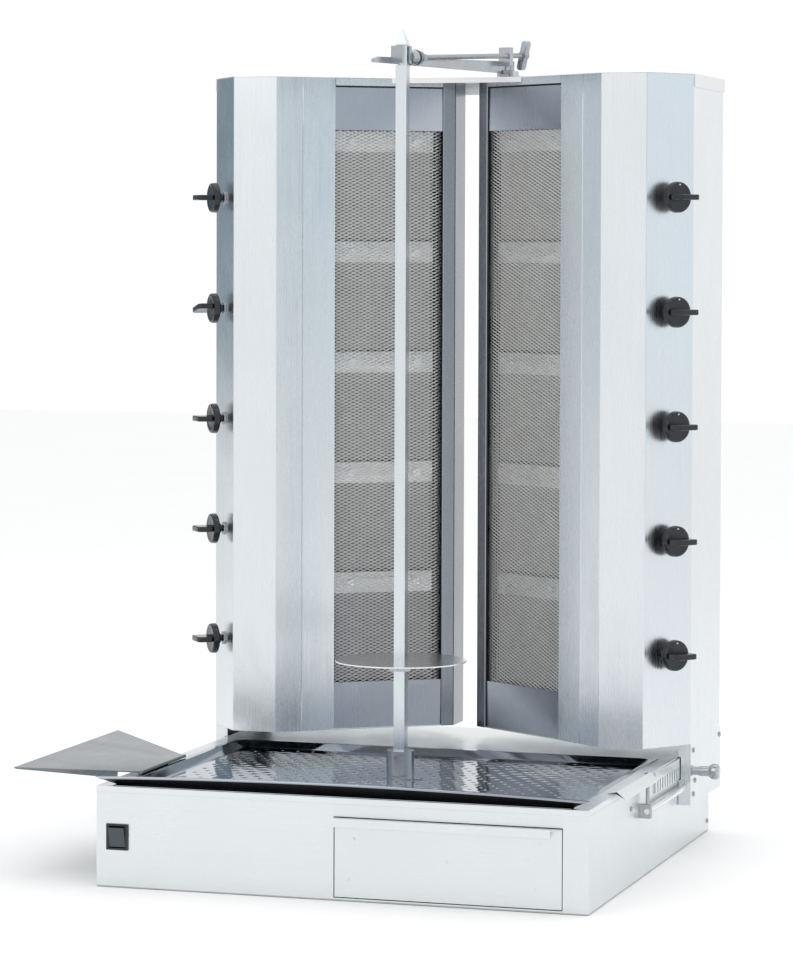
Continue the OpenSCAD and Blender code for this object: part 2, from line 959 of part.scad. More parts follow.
// Expanded metal guards behind the recessed strips
module mesh_guards() {
    color("darkgray")
    both()
        on_face()
            translate([face_margin - 6, face_depth + casing_t, mesh_z - 6])
                cube([open_w + 12, 1.2, mesh_h + 12]);
}

// Gas pipe of each tower, from the rear inlet to the topmost valve
module gas_manifolds() {
    color("goldenrod")
    both() {
        translate([manifold_xy[0], manifold_xy[1], pipe_z - manifold_r])
            cylinder(r = manifold_r, h = mesh_h + 10);
        translate([manifold_xy[0], manifold_xy[1], pipe_z])
            rotate([-90, 0, 0])
                cylinder(r = manifold_r, h = tower_back - manifold_xy[1]);
        translate([manifold_xy[0], tower_back, pipe_z])
            rotate([-90, 0, 0])
                difference() {
                    union() {
                        cylinder(r = inlet_r - 1, h = inlet_len);
                        cylinder(r = 14, h = 4, $fn = 6);
                        translate([0, 0, 5.5])
                            cylinder(r = inlet_r, h = inlet_len - 5.5);
                    }
                    translate([0, 0, 5])
                        cylinder(r = 7, h = inlet_len);
                }
    }
}

// Valve bodies behind the knob facets, bored for the stems
module gas_valves() {
    color("darkgoldenrod")
    both()
        for (i = [1 : burner_count]) {
            translate([feed_xy[0] - 12, feed_xy[1], knob_height(i)])
                rotate([0, -90, 0])
                    cylinder(r = 3, h = feed_len - 12);
            at_knob(i)
                difference() {
                    union() {
                        translate([-11, -11, -valve_depth])
                            cube([22, 22, valve_depth - casing_t - 6]);
                        translate([0, 0, -casing_t - 6])
                            cylinder(r = 8, h = 6);
                    }
                    translate([0, 0, -stem_tip - move_gap])
                        cylinder(r = stem_r + run_gap, h = stem_tip + 2);
                }
        }
}

// Nuts that hold the valves to the knob facets
module valve_nuts() {
    color("silver")
    both()
        for (i = [1 : burner_count])
            at_knob(i)
                difference() {
                    cylinder(r = 9, h = 3, $fn = 6);
                    translate([0, 0, -cut])
                        cylinder(r = stem_r + 1, h = 3 + 2 * cut);
                }
}

// Open channel under a tower, running beside the base on the guide rod
module pedestal() {
    difference() {
        union() {
            translate([tower_x - plate_t, pedestal_y, pedestal_z])
                cube([plate_t, pedestal_d, tower_z - pedestal_z]);
            for (y = [pedestal_y, pedestal_y + pedestal_d - plate_t])
                translate([pedestal_open, y, pedestal_z])
                    cube([tower_x - pedestal_open, plate_t, tower_z - pedestal_z]);
            for (z = [pedestal_z, tower_z - plate_t])
                translate([pedestal_open, pedestal_y, z])
                    cube([tower_x - pedestal_open, pedestal_d, plate_t]);
            translate([half_w + 2, pedestal_y, rod_z - 10])
                cube([tower_x - half_w - 2, bush_d, 19]);
        }
        translate([rod_x, pedestal_y - cut, rod_z])
            rotate([-90, 0, 0])
                cylinder(r = rod_r + run_gap, h = bush_d + 2 * cut);
        translate([half_w, pedestal_y - cut, comb_z - 1.5])
            cube([comb_t + 1, plate_t + 2 * cut, comb_h + 3]);
        for (p = screw_list)
            translate([tower_x - plate_t - cut, p[0], p[1]])
                rotate([0, 90, 0])
                    cylinder(r = 2, h = plate_t + 2 * cut, $fn = 24);
    }
}
module right_pedestal() {
    color("lightsteelblue")
    difference() {
        pedestal();
        translate([tower_x - plate_t - cut, plunger_y, plunger_z])
            rotate([0, 90, 0])
                cylinder(r = sleeve_r + run_gap, h = plate_t + 2 * cut);
    }
}
module left_pedestal() {
    color("lightsteelblue")
    side(-1)
        pedestal();
}
module pedestal_screws() {
    color("silver")
    both()
        for (p = screw_list)
            translate([tower_x, p[0], p[1]])
                dome_screw(4);
}

// Sleeve through the right pedestal plate, with a flange outside and a nut inside
module plunger_sleeve() {
    color("gray")
    translate([0, plunger_y, plunger_z])
        rotate([0, 90, 0])
            difference() {
                union() {
                    translate([0, 0, sleeve_start])
                        cylinder(r = sleeve_r, h = sleeve_x - sleeve_start);
                    translate([0, 0, tower_x])
                        cylinder(r = 7.2, h = 1.2);
                    translate([0, 0, tower_x - plate_t - 3.5])
                        cylinder(r = 8.5, h = 3.5, $fn = 6);
                }
                translate([0, 0, sleeve_start - cut])
                    cylinder(r = pin_r + run_gap, h = 60);
                translate([0, 0, sleeve_start + sleeve_wall])
                    cylinder(r = spring_r + 0.3, h = sleeve_x - sleeve_start - 2 * sleeve_wall);
            }
}

// Pin with a collar inside the sleeve and a skirted pull head, parked in its pulled place
module index_plunger() {
    skirt_len = 14.3;
    color("silver")
    translate([0, plunger_y, plunger_z])
        rotate([0, 90, 0]) {
            translate([0, 0, pin_x])
                cylinder(r = pin_r, h = head_x - pin_x);
            translate([0, 0, collar_x])
                cylinder(r = spring_r, h = 1.5);
            translate([0, 0, head_x - skirt_len])
                tube(6.8, sleeve_r + move_gap, skirt_len);
            translate([0, 0, head_x])
                cylinder(r1 = 8, r2 = 10.5, h = 4);
            translate([0, 0, head_x + 4])
                cylinder(r = 10.5, h = 7);
            translate([0, 0, head_x + 11])
                cylinder(r1 = 10.5, r2 = 7, h = 2.5);
        }
}

// Coil spring between the plunger collar and the end of the sleeve
module plunger_spring() {
    turns = 6;
    steps = 14;
    wire = 0.4;
    mean_r = 3.9;
    sides = 6;
    spring_x = collar_x + 1.8;
    span = sleeve_x - sleeve_wall - spring_x - 2 * wire - 0.2;
    ring = [
        for (k = [0 : turns * steps], j = [0 : sides - 1])
            let(a = k * 360 / steps, b = j * 360 / sides, r = mean_r + wire * cos(b))
            [spring_x + wire + 0.1 + span * k / (turns * steps) + wire * sin(b),
             plunger_y + r * cos(a), plunger_z + r * sin(a)]
    ];
    last = turns * steps * sides;
    color("silver")
    polyhedron(
        points = ring,
        faces = concat(
            [[for (j = [0 : sides - 1]) sides - 1 - j]],
            [[for (j = [0 : sides - 1]) last + j]],
            [
                for (k = [0 : turns * steps - 1], j = [0 : sides - 1])
                    [
                        k * sides + j, k * sides + (j + 1) % sides,
                        (k + 1) * sides + (j + 1) % sides, (k + 1) * sides + j
                    ]
            ]
        )
    );
}

// Rail on the roof that the steady slides along
module slide_rail() {
    color("silver")
    translate([pivot_xy[0] - rail_w / 2, bridge_y + 6, roof_top])
        cube([rail_w, tower_back - bridge_y - 10, rail_h]);
}

// Burner knob with a round skirt and a bar grip
module knob(i) {
    skirt_z = 12;
    grip_z = 21;
    grip_w = 7.5;
    color("#15151c")
    at_knob(i)
        difference() {
            union() {
                translate([0, 0, -stem_tip])
                    cylinder(r = stem_r, h = stem_tip + skirt_z);
                translate([0, 0, skirt_z - 6])
                    cylinder(r = 7, h = 6);
                translate([0, 0, skirt_z])
                    cylinder(r1 = knob_d / 2, r2 = knob_d / 2 - 1.5, h = grip_z - skirt_z);
                translate([-grip_w / 2, -knob_d / 2 + 4, grip_z])
                    cube([grip_w, knob_d - 8, knob_reach - grip_z - 4]);
                translate([0, 0, grip_z])
                    intersection() {
                        translate([-grip_w / 2, -knob_d / 2, 0])
                            cube([grip_w, knob_d, knob_reach - grip_z]);
                        rotate([0, 90, 0])
                            translate([0, 0, -grip_w / 2])
                                cylinder(r = knob_reach - grip_z, h = grip_w);
                    }
            }
            translate([3.2 - knob_d / 2, 0, grip_z - 0.6])
                cylinder(r = 1.4, h = 2, $fn = 24);
        }
}
module right_knob_1() { knob(1); }
module right_knob_2() { knob(2); }
module right_knob_3() { knob(3); }
module right_knob_4() { knob(4); }
module right_knob_5() { knob(5); }
module left_knob_1() { side(-1) knob(1); }
module left_knob_2() { side(-1) knob(2); }
module left_knob_3() { side(-1) knob(3); }
module left_knob_4() { side(-1) knob(4); }
module left_knob_5() { side(-1) knob(5); }

// Saddle on the roof rail that carries the arm pivot
module top_slide() {
    color("silver")
    difference() {
        translate([pivot_xy[0] - 11.5, pivot_xy[1] - saddle_r, roof_top + move_gap])
            cube([23, 2 * saddle_r, boss_z - roof_top - move_gap - 0.5]);
        translate([pivot_xy[0] - rail_w / 2 - move_gap, pivot_xy[1] - saddle_r - cut, roof_top - cut])
            cube([rail_w + 2 * move_gap, 2 * saddle_r + 2 * cut, rail_h + cut + move_gap]);
        translate([pivot_xy[0], pivot_xy[1], roof_top])
            cylinder(r = bolt_r, h = 20);
    }
}
module arm_pivot_bolt() {
    color("gray")
    translate([pivot_xy[0], pivot_xy[1], roof_top + rail_h + move_gap + 0.2]) {
        cylinder(r = bolt_r, h = boss_top + move_gap - roof_top - rail_h - move_gap - 0.2);
        translate([0, 0, boss_top + move_gap - roof_top - rail_h - move_gap - 0.2])
            cylinder(r = 6.5, h = 3.5, $fn = 6);
    }
}

// Tapered bar on edge with a pivot boss and a guide lug for the clamp screw
module top_arm() {
    color("gainsboro")
    difference() {
        union() {
            along_arm() {
                translate([pivot_side - arm_bar_t / 2, 0, 0])
                    rotate([90, 0, 90])
                        linear_extrude(height = arm_bar_t)
                            polygon([
                                [-50, arm_z + 1.5], [pivot_s - 20, arm_z], [pivot_s - 20, boss_z],
                                [pivot_s, boss_z], [pivot_s, boss_top], [-40, arm_z + 9],
                                [-50, arm_z + 6]
                            ]);
                translate([pivot_side, pivot_s, boss_z])
                    cylinder(r = 9, h = boss_top - boss_z);
                translate([pivot_side, pivot_s - 24, arm_z + 10])
                    cube([18, 9, 25]);
            }
        }
        translate([pivot_xy[0], pivot_xy[1], boss_z - cut])
            cylinder(r = bolt_r + run_gap, h = 30);
        along_screw()
            cylinder(r = screw_r + run_gap, h = pivot_s);
    }
}

// Block beside the arm with a mouth for the spit neck and the screw barrel
module bearing_block() {
    color("silver")
    difference() {
        along_arm()
            translate([pivot_side + arm_bar_t / 2, -11.5, arm_z + 1.5])
                cube([18, 23, block_h]);
        along_arm() {
            translate([0, 0, arm_z])
                cylinder(r = neck_r + 0.5, h = 2 * block_h);
            translate([0, -neck_r - 0.5, arm_z])
                cube([20, 2 * neck_r + 1, 2 * block_h]);
        }
        along_screw()
            cylinder(r = screw_r + run_gap, h = 40);
    }
    along_screw()
        translate([0, 0, 12])
            tube(10.5, screw_r + run_gap, 14);
}

// Clamp screw with a ring, a knurled nut and a T-handle
module clamp_screw() {
    tip_s = neck_r + 1;
    color("darkgray")
    along_screw() {
        translate([0, 0, tip_s])
            cylinder(r = screw_r, h = handle_s - tip_s + 6);
        translate([0, 0, 27])
            cylinder(r = 10, h = 4);
        translate([0, 0, 31])
            cylinder(r = 9, h = 10);
        translate([0, 0, handle_s - 6])
            cylinder(r = 6, h = 12);
        rotate([0, 0, 16])
            translate([0, 21, handle_s])
                rotate([90, 0, 0])
                    cylinder(r = 5.5, h = 42);
    }
}

base_shell();
base_floor();
deck();
drip_pan();
drawer_runners();
gear_case();
drive_motor();
shaft_bearing();
guide_rods();
rod_brackets();
index_comb();
hook_rail();
switch_bezel();
cable_gland();
base_screws();
drawer_tray();
drawer_front();
drive_shaft();
drive_gear();
spit_socket();
socket_screw();
spit_bar();
spit_disc();
disc_collar();
motor_pinion();
switch_rocker();
wing_tray();
right_casing();
left_casing();
tower_floors();
roof();
burner_bodies();
ceramic_tiles();
bolt_bands();
mesh_guards();
gas_manifolds();
gas_valves();
valve_nuts();
right_pedestal();
left_pedestal();
pedestal_screws();
plunger_sleeve();
slide_rail();
right_knob_1();
right_knob_2();
right_knob_3();
right_knob_4();
right_knob_5();
left_knob_1();
left_knob_2();
left_knob_3();
left_knob_4();
left_knob_5();
index_plunger();
plunger_spring();
top_slide();
arm_pivot_bolt();
top_arm();
bearing_block();
clamp_screw();
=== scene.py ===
"""Looks of the vertical rotisserie oven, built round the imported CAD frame.

Lengths in the tables below are millimetres in the row frame; every mesh is made in metres.
"""
import json
import math

import bmesh
import bpy
from mathutils import Matrix, Vector

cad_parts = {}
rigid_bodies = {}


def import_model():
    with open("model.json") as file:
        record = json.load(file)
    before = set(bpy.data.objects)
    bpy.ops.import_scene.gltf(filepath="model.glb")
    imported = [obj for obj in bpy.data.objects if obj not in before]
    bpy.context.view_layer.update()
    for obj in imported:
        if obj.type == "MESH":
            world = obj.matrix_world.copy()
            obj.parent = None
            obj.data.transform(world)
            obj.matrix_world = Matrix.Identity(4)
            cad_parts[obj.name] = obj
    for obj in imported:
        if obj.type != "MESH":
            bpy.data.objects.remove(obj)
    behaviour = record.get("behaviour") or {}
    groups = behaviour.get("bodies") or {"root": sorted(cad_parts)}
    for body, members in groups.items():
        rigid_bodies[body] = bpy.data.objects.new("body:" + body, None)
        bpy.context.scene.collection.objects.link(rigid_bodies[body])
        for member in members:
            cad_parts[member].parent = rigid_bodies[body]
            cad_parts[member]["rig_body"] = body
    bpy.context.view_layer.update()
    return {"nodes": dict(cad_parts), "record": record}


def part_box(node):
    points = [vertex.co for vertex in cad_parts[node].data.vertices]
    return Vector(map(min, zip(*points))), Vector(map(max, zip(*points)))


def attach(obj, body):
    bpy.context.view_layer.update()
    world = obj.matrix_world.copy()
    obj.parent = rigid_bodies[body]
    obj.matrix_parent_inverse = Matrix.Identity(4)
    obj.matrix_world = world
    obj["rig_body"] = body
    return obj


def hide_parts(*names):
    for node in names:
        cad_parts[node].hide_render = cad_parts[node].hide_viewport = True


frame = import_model()
MM = 0.001


def node_box(name):
    """Lowest and highest corner of a CAD node in millimetres."""
    low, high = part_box(name)
    return [v / MM for v in low], [v / MM for v in high]


# ---------------------------------------------------------------- driving sizes, in millimetres
BASE_LOW, BASE_HIGH = node_box("base_shell")
DECK_TOP = node_box("deck")[1][2]
HALF_W = BASE_HIGH[0]
FRONT_Y = BASE_LOW[1]
TOWER_LOW, TOWER_HIGH = node_box("right_casing")
TOWER_X, POST_X = TOWER_HIGH[0], TOWER_LOW[0]
TOWER_FRONT, TOWER_BACK = TOWER_LOW[1], TOWER_HIGH[1]
TOWER_Z, CASING_TOP = TOWER_LOW[2], TOWER_HIGH[2]
KNOB_FACET_X, KNOB_FACET_Y, FRONT_FACET = 49.7, 66.2, 62.2
FACE_ANGLE = math.radians(35)
FACE_MARGIN, POST_W, SHEET = 85.6, 18.0, 1.5
TOP_RAIL, STRIP_DEPTH, SEAM_AT, SEAM_STEP = 10.0, 4.0, 37.5, 1.8
LOWER_PANEL, BURNERS, PITCH = 65.3, 5, 153.8
MESH_Z = TOWER_Z + LOWER_PANEL
MESH_H = BURNERS * PITCH
FRONT_OUTER = (TOWER_X - KNOB_FACET_X, TOWER_FRONT)
FRONT_INNER = (FRONT_OUTER[0] - FRONT_FACET, TOWER_FRONT)
KNOB_EDGE = (TOWER_X, TOWER_FRONT + KNOB_FACET_Y)
FACE_LEN = (FRONT_INNER[0] - POST_X) / math.cos(FACE_ANGLE)
POST_Y = TOWER_FRONT + FACE_LEN * math.sin(FACE_ANGLE)
OPEN_W = FACE_LEN - FACE_MARGIN - POST_W


# ---------------------------------------------------------------- materials
class Shader:
    """A material under construction: its node tree, its Principled shader and a few helpers."""

    def __init__(self, name, color, metallic, roughness, **sockets):
        self.material = bpy.data.materials.new(name)
        self.material.use_nodes = True
        self.tree = self.material.node_tree
        self.principled = self.tree.nodes["Principled BSDF"]
        self.color = color
        self.set("Base Color", (*color, 1))
        self.set("Metallic", metallic)
        self.set("Roughness", roughness)
        for socket, value in sockets.items():
            self.set(socket.replace("_", " "), value)
        self.coords = self.tree.nodes.new("ShaderNodeTexCoord").outputs["Object"]
        self.normal = None

    def set(self, socket, value):
        self.principled.inputs[socket].default_value = value

    def link(self, a, b):
        self.tree.links.new(a, b)

    def noise(self, stretch, detail=3.0, roughness=0.6, distortion=0.0):
        """Noise whose cells are 1/stretch metres long along X, Y and Z."""
        mapping = self.tree.nodes.new("ShaderNodeMapping")
        mapping.inputs["Scale"].default_value = stretch
        self.link(self.coords, mapping.inputs["Vector"])
        noise = self.tree.nodes.new("ShaderNodeTexNoise")
        noise.inputs["Scale"].default_value = 1.0
        noise.inputs["Detail"].default_value = detail
        noise.inputs["Roughness"].default_value = roughness
        noise.inputs["Distortion"].default_value = distortion
        self.link(mapping.outputs["Vector"], noise.inputs["Vector"])
        return noise.outputs["Fac"]

    def remap(self, value, low, high, start=0.3, end=0.7):
        node = self.tree.nodes.new("ShaderNodeMapRange")
        for socket, number in zip(("From Min", "From Max", "To Min", "To Max"), (start, end, low, high)):
            node.inputs[socket].default_value = number
        self.link(value, node.inputs["Value"])
        return node.outputs["Result"]

    def mix(self, factor, first, second, blend="MIX"):
        """Colours or colour sockets mixed by a factor or a factor socket."""
        node = self.tree.nodes.new("ShaderNodeMix")
        node.data_type = "RGBA"
        node.blend_type = blend
        sockets = (node.inputs[0], node.inputs[6], node.inputs[7])
        for socket, value in zip(sockets, (factor, first, second)):
            if isinstance(value, bpy.types.NodeSocket):
                self.link(value, socket)
            elif isinstance(value, (int, float)):
                socket.default_value = value
            else:
                socket.default_value = (*value, 1)
        return node.outputs[2]

    def math(self, operation, a, b):
        node = self.tree.nodes.new("ShaderNodeMath")
        node.operation = operation
        for socket, value in zip(node.inputs, (a, b)):
            if isinstance(value, bpy.types.NodeSocket):
                self.link(value, socket)
            else:
                socket.default_value = value
        return node.outputs[0]

    def bump(self, height, distance, strength=1.0):
        node = self.tree.nodes.new("ShaderNodeBump")
        node.inputs["Strength"].default_value = strength
        node.inputs["Distance"].default_value = distance
        self.link(height, node.inputs["Height"])
        if self.normal is not None:
            self.link(self.normal, node.inputs["Normal"])
        self.normal = node.outputs["Normal"]
        self.link(self.normal, self.principled.inputs["Normal"])

    def rough(self, socket):
        self.link(socket, self.principled.inputs["Roughness"])

    def paint(self, socket):
        self.link(socket, self.principled.inputs["Base Color"])


def tint(color, factor):
    return tuple(min(1.0, c * factor) for c in color)


def brushed(name, color, grain, roughness=(0.24, 0.36), smudge=0.04, coarse=900):
    """Brushed sheet steel: fine streaks along one axis, soft smudges and faint waviness."""
    s = Shader(name, color, 1.0, 0.3)
    along, across = 6, coarse
    stretch = [across] * 3
    stretch[grain] = along
    fine = [across * 4] * 3
    fine[grain] = along * 3
    streaks = s.noise(stretch, detail=5, roughness=0.7)
    hair = s.noise(fine, detail=2)
    cloud = s.noise((5, 5, 4), detail=3)
    smear = s.noise((14, 14, 9), detail=4, distortion=0.8)
    base = s.remap(streaks, *roughness)
    s.rough(s.math("ADD", base, s.remap(smear, -smudge, smudge)))
    shade = s.mix(s.remap(streaks, 0.0, 1.0), tint(color, 0.97), tint(color, 1.02))
    s.paint(s.mix(s.remap(cloud, 0.0, 0.35), shade, tint(color, 0.92)))
    s.bump(s.math("ADD", streaks, hair), 0.00002, 0.35)
    s.bump(cloud, 0.0006, 0.25)
    return s.material


def polished(name, color, roughness=(0.05, 0.16)):
    """Polished sheet with wipe marks and fine scratches."""
    s = Shader(name, color, 1.0, 0.1)
    wipe = s.noise((60, 7, 60), detail=4, distortion=0.6)
    scratch = s.noise((900, 60, 900), detail=2)
    cloud = s.noise((8, 8, 8), detail=3)
    s.rough(s.math("ADD", s.remap(wipe, *roughness), s.remap(cloud, 0.0, 0.05)))
    s.paint(s.mix(s.remap(cloud, 0.0, 0.4), color, tint(color, 0.88)))
    s.bump(scratch, 0.00001, 0.25)
    s.bump(cloud, 0.0004, 0.2)
    return s.material


def machined(name, color, roughness=(0.2, 0.38)):
    """Turned or ground bar steel with a faint ring pattern and handling marks."""
    s = Shader(name, color, 1.0, 0.3)
    rings = s.noise((40, 40, 1500), detail=3)
    marks = s.noise((60, 60, 60), detail=5, distortion=0.4)
    s.rough(s.math("ADD", s.remap(rings, *roughness), s.remap(marks, -0.05, 0.07)))
    s.paint(s.mix(s.remap(marks, 0.0, 0.5), color, tint(color, 0.78)))
    s.bump(rings, 0.00004, 0.5)
    return s.material


def plastic(name, color, roughness, grain=900, depth=0.00003, coat=0.0):
    """Moulded plastic with a fine texture, a little dust and uneven gloss."""
    s = Shader(name, color, 0.0, sum(roughness) / 2, Coat_Weight=coat)
    grit = s.noise((grain, grain, grain), detail=2)
    dust = s.noise((45, 45, 45), detail=5)
    s.rough(s.remap(dust, *roughness))
    s.paint(s.mix(s.remap(dust, 0.0, 0.3, 0.45, 0.8), color, tuple(c + 0.02 for c in color)))
    s.bump(grit, depth, 0.4)
    return s.material


def painted(name, color, roughness=(0.45, 0.62)):
    """Cast or painted metal with an orange-peel skin and dull patches."""
    s = Shader(name, color, 0.35, 0.5)
    peel = s.noise((500, 500, 500), detail=3)
    patch = s.noise((20, 20, 20), detail=4)
    s.rough(s.remap(patch, *roughness))
    s.paint(s.mix(s.remap(patch, 0.0, 0.6), color, tint(color, 0.75)))
    s.bump(peel, 0.00015, 0.5)
    return s.material


def ceramic(name, color):
    """Burner ceramic: a fine honeycomb of flame ports, painted darker at their centres as the shade
    inside the holes, with heat stains.
    """
    s = Shader(name, color, 0.0, 0.85)
    ports = s.tree.nodes.new("ShaderNodeTexVoronoi")
    ports.inputs["Scale"].default_value = 420
    s.link(s.coords, ports.inputs["Vector"])
    stain = s.noise((22, 22, 12), detail=5)
    hole = s.remap(ports.outputs["Distance"], 0.0, 1.0, 0.18, 0.42)
    baked = s.mix(s.remap(stain, 0.0, 0.8), color, tint(color, 0.72))
    # The port centres are painted dark as the shade inside each hole.
    s.paint(s.mix(hole, tint(color, 0.35), baked))
    s.rough(s.remap(stain, 0.75, 0.92))
    s.bump(hole, 0.0006, 0.7)
    return s.material


STEEL = (0.73, 0.765, 0.79)
MATERIALS = {
    "tower": brushed("brushed_steel_upright", STEEL, 2, (0.2, 0.32)),
    "base": brushed("brushed_steel_level", (0.745, 0.785, 0.795), 0, (0.26, 0.38)),
    "roof": brushed("brushed_steel_roof", (0.78, 0.785, 0.79), 0, (0.28, 0.4)),
    # Wing: steel darkened far below its own colour, painted shade and dark reflection.
    "wing": brushed("brushed_steel_wing_painted_shade", (0.2, 0.225, 0.24), 1, (0.2, 0.3)),
    # Strip and post: steel darkened below its own colour, painted shade and dark reflection.
    "strip": brushed("strip_steel_painted_shade", (0.46, 0.49, 0.54), 2, (0.24, 0.38)),
    "post": brushed("post_steel_painted_shade", (0.3, 0.32, 0.35), 2, (0.2, 0.32)),
    # Pan: steel darkened below its own colour, painted dark reflection.
    "pan": polished("polished_pan_painted_reflection", (0.34, 0.37, 0.42), (0.03, 0.09)),
    "disc": polished("polished_disc", (0.8, 0.8, 0.81), (0.1, 0.22)),
    "band": polished("bright_band", (0.82, 0.82, 0.82), (0.15, 0.3)),
    "bar": brushed("ground_bar", (0.68, 0.73, 0.76), 2, (0.16, 0.26), coarse=700),
    "turned": machined("turned_steel", (0.46, 0.485, 0.51), (0.14, 0.26)),
    "screw": machined("screw_steel", (0.4, 0.42, 0.44), (0.16, 0.3)),
    "zinc": painted("zinc_plate", (0.5, 0.51, 0.52)),
    # Near-black painted shadow for the pan flange's underside.
    "shadow": painted("flange_underside_painted_shadow", (0.012, 0.012, 0.014), (0.3, 0.5)),
    # Near-black painted shadow for the recess return and the gap under each top rail.
    "painted_gap_shadow": painted("seam_shadow", (0.02, 0.022, 0.026), (0.5, 0.7)),
    "black": plastic("black_plastic", (0.016, 0.016, 0.018), (0.35, 0.55)),
    "knob": plastic("knob_plastic", (0.005, 0.006, 0.01), (0.16, 0.3), 1400, 0.00001, 0.1),
    "rocker": plastic("rocker_plastic", (0.035, 0.05, 0.062), (0.1, 0.24), 900, 0.00001, 0.4),
    "mark": plastic("white_mark", (0.8, 0.8, 0.78), (0.4, 0.6)),
    "enamel": painted("burner_enamel", (0.16, 0.16, 0.165)),
    "ceramic": ceramic("burner_ceramic", (0.44, 0.44, 0.43)),
    "mesh": machined("mesh_steel", (0.88, 0.88, 0.87), (0.3, 0.45)),
    "brass": machined("gas_brass", (0.72, 0.5, 0.2)),
    "bronze": machined("bearing_bronze", (0.55, 0.36, 0.16)),
    "cast": painted("cast_grey", (0.26, 0.27, 0.28)),
}


# ---------------------------------------------------------------- mesh helpers
def add_object(name, bm, material, smooth=38):
    """Turns a bmesh in millimetres into an object with sharp edges kept above an angle."""
    bm.transform(Matrix.Scale(MM, 4))
    bmesh.ops.recalc_face_normals(bm, faces=bm.faces)
    mesh = bpy.data.meshes.new(name)
    bm.to_mesh(mesh)
    bm.free()
    mesh.shade_smooth()
    mesh.set_sharp_from_angle(angle=math.radians(smooth))
    piece = bpy.data.objects.new(name, mesh)
    bpy.context.scene.collection.objects.link(piece)
    piece.data.materials.append(MATERIALS[material])
    return piece


def settle(piece, body, slot, *nodes):
    """Puts a finished piece on its body and hides the CAD nodes it stands for."""
    if nodes:
        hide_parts(*nodes)
    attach(piece, body)
    return piece


def body_of_node(node):
    return frame["nodes"][node]["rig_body"]


def slot_of_node(node):
    for part in frame["record"]["subparts"]:
        if part["node"] == node:
            return part["material_slot"]
    raise KeyError(node)


def soften(node, material, width=0.5, segments=2):
    """A copy of a CAD node with its edges rounded as folded or machined metal is."""
    bm = bmesh.new()
    bm.from_mesh(frame["nodes"][node].data)
    bmesh.ops.remove_doubles(bm, verts=bm.verts, dist=1e-6)
    bmesh.ops.dissolve_limit(
        bm, angle_limit=math.radians(0.4), verts=bm.verts, edges=bm.edges, delimit={"NORMAL"}
    )
    bm.transform(Matrix.Scale(1 / MM, 4))
    piece = add_object(node + "_finish", bm, material, 30)
    bevel = piece.modifiers.new("rounded_edges", "BEVEL")
    bevel.width = width * MM
    bevel.segments = segments
    bevel.limit_method = "ANGLE"
    bevel.angle_limit = math.radians(35)
    bevel.harden_normals = True
    return settle(piece, body_of_node(node), slot_of_node(node), node)


def revolve(bm, outline, at, turn, steps=48):
    """Adds a surface turned from (radius, height) points; turn maps +Z to the part's axis."""
    rings = []
    for radius, height in outline:
        ring = []
        for k in range(steps):
            angle = 2 * math.pi * k / steps
            point = Vector((radius * math.cos(angle), radius * math.sin(angle), height))
            ring.append(bm.verts.new(at + turn @ point))
        rings.append(ring)
    for low, high in zip(rings, rings[1:]):
        for k in range(steps):
            bm.faces.new((low[k], low[(k + 1) % steps], high[(k + 1) % steps], high[k]))
    bm.faces.new(rings[0])
    bm.faces.new(rings[-1])


def prism(bm, outline, thickness, place):
    """Adds a plate from a closed outline in its own XY plane; place is a 4x4 matrix."""
    low = [bm.verts.new(place @ Vector((x, y, 0))) for x, y in outline]
    high = [bm.verts.new(place @ Vector((x, y, thickness))) for x, y in outline]
    bm.faces.new(low)
    bm.faces.new(high)
    for k in range(len(outline)):
        n = (k + 1) % len(outline)
        bm.faces.new((low[k], low[n], high[n], high[k]))


def rounded_rect(w, h, r, steps=5):
    """Outline of a rectangle with round corners, centred on the origin."""
    points = []
    for quarter in range(4):
        cx = (w / 2 - r) * (1 if quarter in (0, 3) else -1)
        cy = (h / 2 - r) * (1 if quarter in (0, 1) else -1)
        for k in range(steps + 1):
            angle = math.pi / 2 * (quarter + k / steps)
            points.append((cx + r * math.cos(angle), cy + r * math.sin(angle)))
    return points


def bevel_piece(piece, width, segments=2, angle=35):
    bevel = piece.modifiers.new("rounded_edges", "BEVEL")
    bevel.width = width * MM
    bevel.segments = segments
    bevel.limit_method = "ANGLE"
    bevel.angle_limit = math.radians(angle)
    bevel.harden_normals = True


def thicken(piece, thickness, offset=-1):
    solid = piece.modifiers.new("sheet", "SOLIDIFY")
    solid.thickness = thickness * MM
    solid.offset = offset
    solid.use_even_offset = True
    weigh(piece)


def fillet(points, bends, steps=4):
    """A closed outline whose listed corners, {index: radius}, are replaced by arcs."""
    result = []
    count = len(points)
    for k in range(count):
        here = Vector(points[k])
        back = (Vector(points[k - 1]) - here).normalized()
        ahead = (Vector(points[(k + 1) % count]) - here).normalized()
        half = math.acos(max(-1, min(1, back.dot(ahead)))) / 2
        if k not in bends:
            result.append(tuple(here))
            continue
        radius = bends[k]
        reach = radius / math.tan(half)
        centre = here + (back + ahead).normalized() * radius / math.sin(half)
        start, stop = here + back * reach - centre, here + ahead * reach - centre
        swing = start.angle_signed(stop)
        for j in range(steps + 1):
            a = -swing * j / steps
            x = start.x * math.cos(a) - start.y * math.sin(a)
            y = start.x * math.sin(a) + start.y * math.cos(a)
            result.append((centre.x + x, centre.y + y))
    return result


def weigh(piece):
    """Shades each flat face flat, so that a bend's light stays in the bend."""
    normals = piece.modifiers.new("flat_faces", "WEIGHTED_NORMAL")
    normals.keep_sharp = True
    normals.weight = 100


